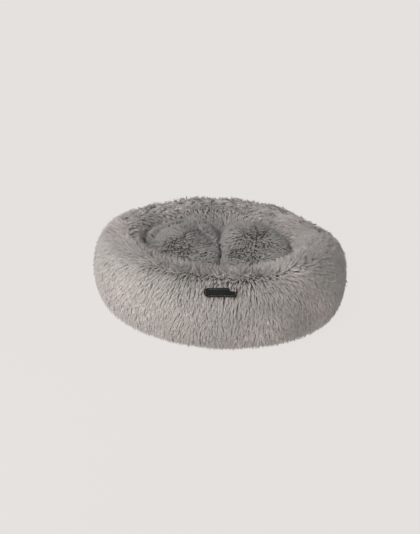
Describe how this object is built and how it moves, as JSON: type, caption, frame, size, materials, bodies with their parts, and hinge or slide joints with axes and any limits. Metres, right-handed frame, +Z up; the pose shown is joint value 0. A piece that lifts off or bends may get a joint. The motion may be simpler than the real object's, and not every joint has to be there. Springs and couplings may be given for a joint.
{
  "type": "pet cushion bed",
  "caption": "Round long-pile faux-fur pet bed: a soft filled ring around a well, with a loose puffy seat cushion lying in the well and a zip in the underside.",
  "frame": {"origin": "middle of the underside, on the surface that the bed rests on", "axes": "+Z up out of the well; -Y is the front, where the label is; +X is to the right seen from the front"},
  "size_m": [0.6, 0.6, 0.1813],
  "materials": {
    "fur": "long shaggy polyester pile, warm light grey",
    "seat_fur": "shorter polyester pile, grey",
    "lining": "thin non-woven",
    "fibre": "carded polyester fibre",
    "grip_cloth": "woven cloth with grip dots",
    "floor_cloth": "plain woven cloth",
    "label": "woven satin, black",
    "thread": "polyester thread",
    "zip_tape": "woven tape",
    "zip_coil": "nylon monofilament coil",
    "zinc": "nickel-plated zinc casting"
  },
  "bodies": {
    "bed": {"rim_cover": "fur", "rim_liner": "lining", "rim_fill": "fibre", "base_panel": "grip_cloth", "base_pad": "fibre", "floor_panel": "floor_cloth", "label": "label", "label_stitch_left": "thread", "label_stitch_right": "thread", "zip_tape_front": "zip_tape", "zip_tape_back": "zip_tape", "zip_coil_front": "zip_coil", "zip_coil_back": "zip_coil", "zip_stop_left": "zinc", "zip_stop_right": "zinc"},
    "seat": {"seat_cover_top": "seat_fur", "seat_cover_bottom": "floor_cloth", "seat_fill": "fibre"},
    "zip_slider": {"zip_slider": "zinc"},
    "zip_pull": {"zip_pull": "zinc"}
  },
  "joints": [
    {"name": "seat_lift", "type": "slide", "parent": "bed", "child": "seat", "axis": [0, 0, 1], "range_m": [0, 0.3]},
    {"name": "zip_slide", "type": "slide", "parent": "bed", "child": "zip_slider", "axis": [1, 0, 0], "range_m": [0, 0.262]},
    {"name": "zip_pull_flip", "type": "hinge", "parent": "zip_slider", "child": "zip_pull", "pos_m": [-0.1312, 0.07, 0.00265], "axis": [0, 1, 0], "range_deg": [0, 175]}
  ]
}
